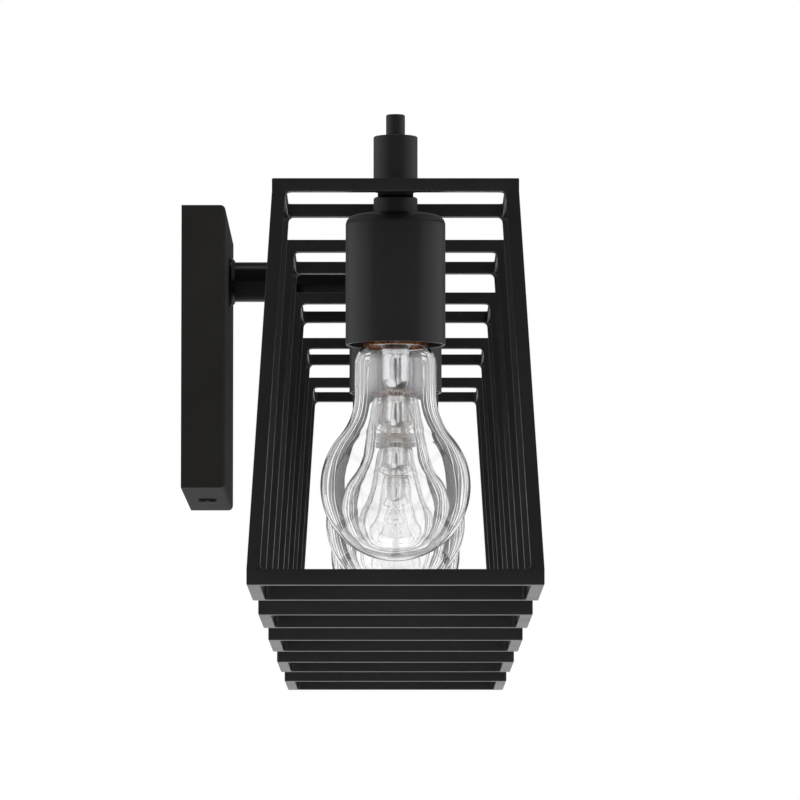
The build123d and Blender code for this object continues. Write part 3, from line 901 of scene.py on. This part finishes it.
class VANITY_OT_arm(bpy.types.Operator):
    """Build the arm and its flange"""

    bl_idname = "vanity.arm"
    bl_label = "Arm"

    def execute(self, context):
        sizes = context.scene.vanity_metal
        edge = sizes.turned_edge
        low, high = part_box("support_arm")
        line = Vector(((low.x + high.x) / 2, 0, (low.z + high.z) / 2))
        radius = (high.z - low.z) / 2
        arm = rotated(turned(rounded_bar(radius, low.y, high.y, edge, edge)), -QUARTER, "X")
        add_painted("arm", moved(arm, line), "support_arm", "shaded_arm_black_coat")

        low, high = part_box("arm_flange")
        inside = radius + sizes.flange_gap
        outside = (high.z - low.z) / 2
        chamfer = sizes.flange_chamfer
        flange = turned([
            (inside, high.y),
            (inside, low.y),
            (outside - chamfer, low.y),
            (outside, low.y + chamfer),
            *arc((outside - edge, high.y - edge), edge, 0, 90, steps=4),
        ], closed=True)
        rotated(flange, -QUARTER, "X")
        add_painted("flange", moved(flange, line), "arm_flange", "shaded_arm_black_coat")
        return {"FINISHED"}


# Plate

def plate_shell(sizes, low, high):
    """Shallow sheet box, open to the wall, with a rounded front."""
    shape = bmesh.new()
    block(shape, high - low, (low + high) / 2)
    back = [face for face in shape.faces if face.normal.y > FACING]
    bmesh.ops.delete(shape, geom=back, context="FACES_ONLY")
    front = [edge for edge in shape.edges if all(point.co.y < low.y + TOUCH for point in edge.verts)]
    round_edges(shape, front, sizes.front_edge, steps=6)
    shape.normal_update()
    corners = [edge for edge in shape.edges if edge.calc_face_angle(0) > CORNER_ANGLE]
    round_edges(shape, corners, sizes.corner, steps=2)
    bmesh.ops.recalc_face_normals(shape, faces=shape.faces)
    bmesh.ops.solidify(shape, geom=shape.faces[:], thickness=sizes.wall)
    return shape


def screw_head(sizes, radius):
    """Slotted pan head that stands on the ground plane."""
    half_slot = sizes.drive_width / 2
    shape = bmesh.new()
    bmesh.ops.create_circle(shape, cap_ends=True, segments=HEAD_STEPS, radius=radius)
    top = bmesh.ops.extrude_face_region(shape, geom=shape.faces[:])["geom"]
    slot_floor = (0, 0, sizes.head - sizes.drive_depth)
    bmesh.ops.translate(shape, vec=slot_floor, verts=only(BMVert, top))
    bmesh.ops.recalc_face_normals(shape, faces=shape.faces)
    for side in (-1, 1):
        disc = [face for face in shape.faces if face.normal.z > FACING]
        bmesh.ops.bisect_plane(
            shape, geom=with_borders(disc), plane_co=(0, side * half_slot, 0), plane_no=(0, 1, 0)
        )
    lands = [
        face for face in shape.faces
        if face.normal.z > FACING and abs(face.calc_center_median().y) > half_slot
    ]
    raised = bmesh.ops.extrude_discrete_faces(shape, faces=lands)["faces"]
    for face in raised:
        bmesh.ops.translate(shape, vec=(0, 0, sizes.drive_depth), verts=face.verts)
    bmesh.ops.recalc_face_normals(shape, faces=shape.faces)
    rims = [
        edge for face in raised for edge in face.edges
        if all(point.co.xy.length > radius - TOUCH for point in edge.verts)
        and sum(abs(point.co.y) for point in edge.verts) > sizes.drive_width + 4 * TOUCH
    ]
    round_edges(shape, rims, sizes.head_edge, steps=4)
    return shape


def screw_thread(sizes, reach):
    """Ridged thread that hangs from the ground plane."""
    ridges = int(reach / sizes.screw_pitch)
    outer = sizes.screw_thread / 2
    inner = outer - sizes.screw_groove
    outline = [(0, -reach)]
    for number in range(ridges):
        height = -reach + number * sizes.screw_pitch
        outline += [(inner, height), (outer, height + sizes.screw_pitch / 2)]
    outline += [(inner, -reach + ridges * sizes.screw_pitch), (inner, 0), (0, 0)]
    return turned(outline, steps=SCREW_STEPS)


class VANITY_OT_plate(bpy.types.Operator):
    """Build the back plate and the screws that hold it"""

    bl_idname = "vanity.plate"
    bl_label = "Back plate"

    def execute(self, context):
        sizes = context.scene.vanity_plate
        plate_low, plate_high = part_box("back_plate")
        shell = plate_shell(sizes, plate_low, plate_high)
        add_painted("wall_plate", shell, "back_plate", "plate_black_coat")
        low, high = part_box("canopy_screws")
        middle = (low + high) / 2
        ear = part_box("mounting_bracket")[1].z
        upper = screw_head(sizes, (high.x - low.x) / 2)
        join(upper, screw_thread(sizes, plate_high.z - ear + sizes.screw_tail))
        lower = rotated(upper.copy(), math.pi, "Y")
        moved(upper, (middle.x, middle.y, plate_high.z))
        join(upper, moved(lower, (middle.x, middle.y, plate_low.z)))
        add_painted("plate_screws", upper, "canopy_screws", "plate_black_coat")
        return {"FINISHED"}


# Bulbs

def envelope(sizes, seal, globe, seal_height, inset):
    """Outline of the glass, moved inwards by inset, from the seal to the globe's lowest point."""
    neck = seal + sizes.neck_flare
    shoulder_x = neck - sizes.shoulder
    shoulder_z = seal_height - math.sqrt(sizes.shoulder**2 - (seal - shoulder_x) ** 2)
    flank_x = neck + sizes.flank
    flank_z = shoulder_z - sizes.neck
    drop = math.sqrt((globe + sizes.flank) ** 2 - flank_x**2)
    shoulder = sizes.shoulder - inset
    seal_angle = math.degrees(math.acos((seal - inset - shoulder_x) / shoulder))
    meet_angle = math.degrees(math.atan2(drop, flank_x))
    return [
        (seal - inset, seal_height),
        *arc((shoulder_x, shoulder_z), shoulder, seal_angle, 0, steps=10),
        *arc((flank_x, flank_z), sizes.flank + inset, 180, 180 + meet_angle, steps=14),
        *arc((0, flank_z - drop), globe - inset, meet_angle, -90, steps=44)[1:],
    ]


def glass_outline(sizes, base_radius, low, high):
    """Closed outline of the glass: outside from the seal to the lowest point, and back inside."""
    seal = base_radius - sizes.seal_inset
    globe = (high.x - low.x) / 2
    outside = envelope(sizes, seal, globe, high.z, 0)
    inside = envelope(sizes, seal, globe, high.z, sizes.wall)
    return outside[1:] + inside[::-1]


def stem_shape(sizes, low, high):
    """Glass stem: a flare in the base, a tube that is solid lower down, and a flattened press."""
    tube = sizes.stem_tube / 2
    bore = tube - sizes.stem_wall
    flare = (high.x - low.x) / 2
    bend = sizes.stem_bend
    end = sizes.press_end
    end_top = low.z + end
    press_top = low.z + sizes.press
    flare_low = high.z - sizes.flare
    step = (press_top - end_top) / PRESS_STEPS
    shape = turned([
        (0, low.z),
        *arc((tube - end, end_top), end, -90, 0, steps=4)[:-1],
        *[(tube, end_top + step * number) for number in range(PRESS_STEPS + 1)],
        *arc((tube + bend, flare_low - bend), bend, 180, 90, steps=6),
        (flare, flare_low),
        (flare, high.z),
        (bore, high.z),
        *arc((0, low.z + sizes.stem_solid + bore), bore, 0, -90, steps=10),
    ])
    for point in shape.verts:
        if point.co.z < press_top:
            flat = (press_top - point.co.z) / sizes.press
            squeeze = 1 - flat * (1 - sizes.press_width / sizes.stem_tube)
            bmesh.ops.scale(shape, vec=(1, squeeze, 1), verts=[point])
    return rotated(shape, sizes.press_turn, "Z")


def filament_shape(sizes, low, high):
    """Two leads and two supports from the press, their beads and the coiled filament."""
    sag = sizes.filament_sag
    tip_z = low.z + sizes.wire / 2 + sag
    shape = bmesh.new()
    tips = []
    for part in WIRE_SHARES:
        lead = abs(part) == 1
        foot = Vector((part * sizes.foot, 0, high.z))
        tip = Vector((part * sizes.spread, 0, tip_z if lead else tip_z - sag))
        rod(shape, foot, tip, (sizes.wire if lead else sizes.support) / 2)
        for place, bead in ((foot, sizes.bead), (tip, sizes.tip_bead)):
            bmesh.ops.create_icosphere(
                shape, subdivisions=2, radius=bead / 2, matrix=Matrix.Translation(place)
            )
        tips.append(tip)
    radius = (sizes.filament - sizes.filament_wire) / 2
    for start, end in zip(tips, tips[1:]):
        coil(shape, start, end, radius, sizes.filament_wire, sizes.filament_pitch)
    return rotated(shape, sizes.press_turn, "Z")


def base_outline(sizes, low, high):
    """Outline of the base, from its tip down the cone and the thread and back up inside."""
    radius = (high.x - low.x) / 2
    inside = radius - sizes.thread_depth - sizes.shell
    half_depth = sizes.thread_depth / 2
    thread_top = low.z + sizes.thread
    ceiling = thread_top - sizes.shell
    tip = sizes.tip / 2
    edge = sizes.tip_edge
    ridges = int((sizes.thread - sizes.thread_pitch) / sizes.thread_pitch)
    wave = []
    for number in range(1, RIDGE_STEPS * ridges + 1):
        swell = math.cos(math.tau * number / RIDGE_STEPS)
        height = thread_top - number * sizes.thread_pitch / RIDGE_STEPS
        wave.append((radius - half_depth - half_depth * swell, height))
    return [
        (0, high.z),
        *arc((tip - edge, high.z - edge), edge, 90, 0, steps=5),
        (tip, thread_top + sizes.cone),
        (radius - sizes.thread_depth, thread_top),
        *wave,
        (radius, wave[-1][1] - half_depth),
        (radius, low.z),
        (inside, low.z),
        (inside, ceiling),
        (0, ceiling),
    ]


def base_shape(sizes, low, high):
    """The base, with the insulator's faces in the second finish."""
    base = turned(base_outline(sizes, low, high))
    thread_top = low.z + sizes.thread
    cone_top = thread_top + sizes.cone
    for face in base.faces:
        if thread_top < face.calc_center_median().z < cone_top and face.normal.z > 0:
            face.material_index = 1
    return base


class VANITY_OT_bulbs(bpy.types.Operator):
    """Build the five bulbs: base, glass, stem and filament"""

    bl_idname = "vanity.bulbs"
    bl_label = "Bulbs"

    def execute(self, context):
        sizes = context.scene.vanity_bulb
        for number in LAMPS:
            low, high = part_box(f"bulb_base_{number}")
            base = base_shape(sizes, low, high)
            outline = glass_outline(sizes, (high.x - low.x) / 2, *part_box(f"bulb_glass_{number}"))
            glass = turned(outline, closed=True, steps=FINE_STEPS)
            stem = stem_shape(sizes, *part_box(f"bulb_stem_{number}"))
            filament = filament_shape(sizes, *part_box(f"bulb_filament_{number}"))
            for name, shape, materials, slot in (
                ("base", base, ["tarnished_brass", "insulator_glass"], "shell_brass"),
                ("glass", glass, ["clear_blown_glass"], "clear_glass"),
                ("stem", stem, ["drawn_stem_glass"], "clear_glass"),
                ("filament", filament, ["drawn_wire"], "filament_wire"),
            ):
                moved(shape, lamp_axis(number))
                node = f"bulb_{name}_{number}"
                add_piece(f"{name}_{number}", shape, materials, slot, f"bulb_{number}", node)
        return {"FINISHED"}


# Hidden hardware

class VANITY_OT_hardware(bpy.types.Operator):
    """Finish the hardware that keeps the shape it has in the frame"""

    bl_idname = "vanity.hardware"
    bl_label = "Hardware"

    def execute(self, context):
        for node in ("mounting_bracket", "arm_nipple", "arm_lock_nut", "threaded_stems", "stem_lock_nuts"):
            refinish(node, "plated_steel")
        refinish("ground_screw", "green_steel")
        refinish("screw_shells", "tarnished_brass")
        for number in LAMPS:
            refinish(f"lampholder_{number}", "moulded_dark")
            refinish(f"center_contact_{number}", "tarnished_brass")
        return {"FINISHED"}


# Stage

def studio_world(stage):
    """White surroundings for the eye and glass, soft side panels for gloss, and an even fill."""
    world = bpy.data.worlds.new("studio")
    bpy.context.scene.world = world
    world.use_nodes = True
    nodes = Nodes(world.node_tree)
    way = nodes.add("ShaderNodeTexCoord", output="Generated")
    across = nodes.part(way, "Y")
    panels = nodes.spread(across * across, *PANEL_RANGE, stage.end_level, stage.side_level)
    below = nodes.spread(nodes.part(way, "Z"), *HORIZON_RANGE)
    gloss_level = panels + (1 - panels) * below
    seen, through, gloss = nodes.rays()
    plain = seen + (1 - seen) * through
    lit = gloss * gloss_level + (1 - gloss) * stage.fill_level
    level = plain + (1 - plain) * lit
    light = nodes.add("ShaderNodeBackground", None, {"Color": opaque(WHITE), "Strength": level})
    nodes.add("ShaderNodeOutputWorld", None, {"Surface": light})


def floor_finish(stage):
    """Matt floor that is white to the eye, to glass and to gloss, and clear from below."""
    material = bpy.data.materials.new("pale_floor")
    material.use_nodes = True
    nodes = Nodes(material.node_tree)
    matt = nodes.add("ShaderNodeBsdfDiffuse", None, {"Color": opaque(stage.floor)})
    white = nodes.add("ShaderNodeEmission", None, {"Color": opaque(WHITE), "Strength": 1.0})
    seen, through, gloss = nodes.rays()
    shown = nodes.spread(seen + through + gloss, 0.0, 1.0, to_high=stage.floor_shown)
    behind = nodes.add("ShaderNodeNewGeometry", output="Backfacing")
    clear = nodes.add("ShaderNodeBsdfTransparent")
    nodes.surface(nodes.mixed(behind, nodes.mixed(shown, matt, white), clear))
    return material


def pale_floor(stage):
    """Wide floor below the row."""
    shape = bmesh.new()
    bmesh.ops.create_grid(shape, x_segments=1, y_segments=1, size=stage.floor_side / 2)
    mesh = bpy.data.meshes.new("floor")
    moved(shape, (0, 0, -stage.floor_drop)).to_mesh(mesh)
    shape.free()
    mesh.materials.append(floor_finish(stage))
    floor = bpy.data.objects.new("floor", mesh)
    bpy.context.scene.collection.objects.link(floor)


def aimed(name, data, place, way):
    """An object of the stage at a place, looking one way."""
    made = bpy.data.objects.new(name, data)
    made.location = place
    made.rotation_mode = "QUATERNION"
    made.rotation_quaternion = way.to_track_quat("-Z", "Y")
    bpy.context.scene.collection.objects.link(made)
    return made


def soft_light(stage):
    """Square soft light above the middle of the row."""
    lamp = bpy.data.lights.new("overhead", "AREA")
    lamp.energy = stage.overhead_power
    lamp.size = stage.overhead_side
    row = lamp_axis(MIDDLE_LAMP)
    aimed("overhead", lamp, row + stage.overhead_height * UP, -UP)


def add_camera(stage):
    """Camera beyond the first lamp, looking along the row and a little upwards."""
    data = bpy.data.cameras.new("camera")
    data.lens = stage.camera_lens
    data.clip_end = stage.camera_reach
    way = Vector((1, -math.tan(stage.camera_turn), math.tan(stage.camera_rise)))
    bpy.context.scene.camera = aimed("camera", data, stage.camera_place, way)


class VANITY_OT_stage(bpy.types.Operator):
    """Set up the floor, the studio light and the camera"""

    bl_idname = "vanity.stage"
    bl_label = "Stage"

    def execute(self, context):
        stage = context.scene.vanity_stage
        studio_world(stage)
        pale_floor(stage)
        soft_light(stage)
        add_camera(stage)
        context.scene.view_settings.view_transform = "Standard"
        context.scene.cycles.max_bounces = LIGHT_BOUNCES
        context.scene.cycles.transmission_bounces = LIGHT_BOUNCES
        return {"FINISHED"}


# Panel and registration

PIECE_OPERATORS = (
    VANITY_OT_cages,
    VANITY_OT_sockets,
    VANITY_OT_hubs,
    VANITY_OT_arm,
    VANITY_OT_plate,
    VANITY_OT_bulbs,
    VANITY_OT_hardware,
    VANITY_OT_stage,
)
SETTINGS = {
    "vanity_metal": VanityMetalSizes,
    "vanity_plate": VanityPlateSizes,
    "vanity_bulb": VanityBulbSizes,
    "vanity_finish": VanityFinish,
    "vanity_stage": VanityStage,
}


class VANITY_PT_panel(bpy.types.Panel):
    """Lists the steps and the settings of the vanity light"""

    bl_idname = "VANITY_PT_panel"
    bl_label = "Vanity Light"
    bl_space_type = "VIEW_3D"
    bl_region_type = "UI"
    bl_category = "Vanity Light"

    def draw(self, context):
        for operator in PIECE_OPERATORS:
            self.layout.operator(operator.bl_idname)
        for name in SETTINGS:
            settings = getattr(context.scene, name)
            box = self.layout.box()
            for key in settings.__annotations__:
                box.prop(settings, key)


CLASSES = (*SETTINGS.values(), *PIECE_OPERATORS, VANITY_PT_panel)


def register():
    for kind in CLASSES:
        bpy.utils.register_class(kind)
    for name, kind in SETTINGS.items():
        setattr(bpy.types.Scene, name, PointerProperty(type=kind))


def unregister():
    for name in SETTINGS:
        delattr(bpy.types.Scene, name)
    for kind in reversed(CLASSES):
        bpy.utils.unregister_class(kind)


def main():
    """Builds every piece and the stage."""
    register()
    bpy.ops.vanity.cages()
    bpy.ops.vanity.sockets()
    bpy.ops.vanity.hubs()
    bpy.ops.vanity.arm()
    bpy.ops.vanity.plate()
    bpy.ops.vanity.bulbs()
    bpy.ops.vanity.hardware()
    bpy.ops.vanity.stage()


if __name__ == "__main__":
    main()
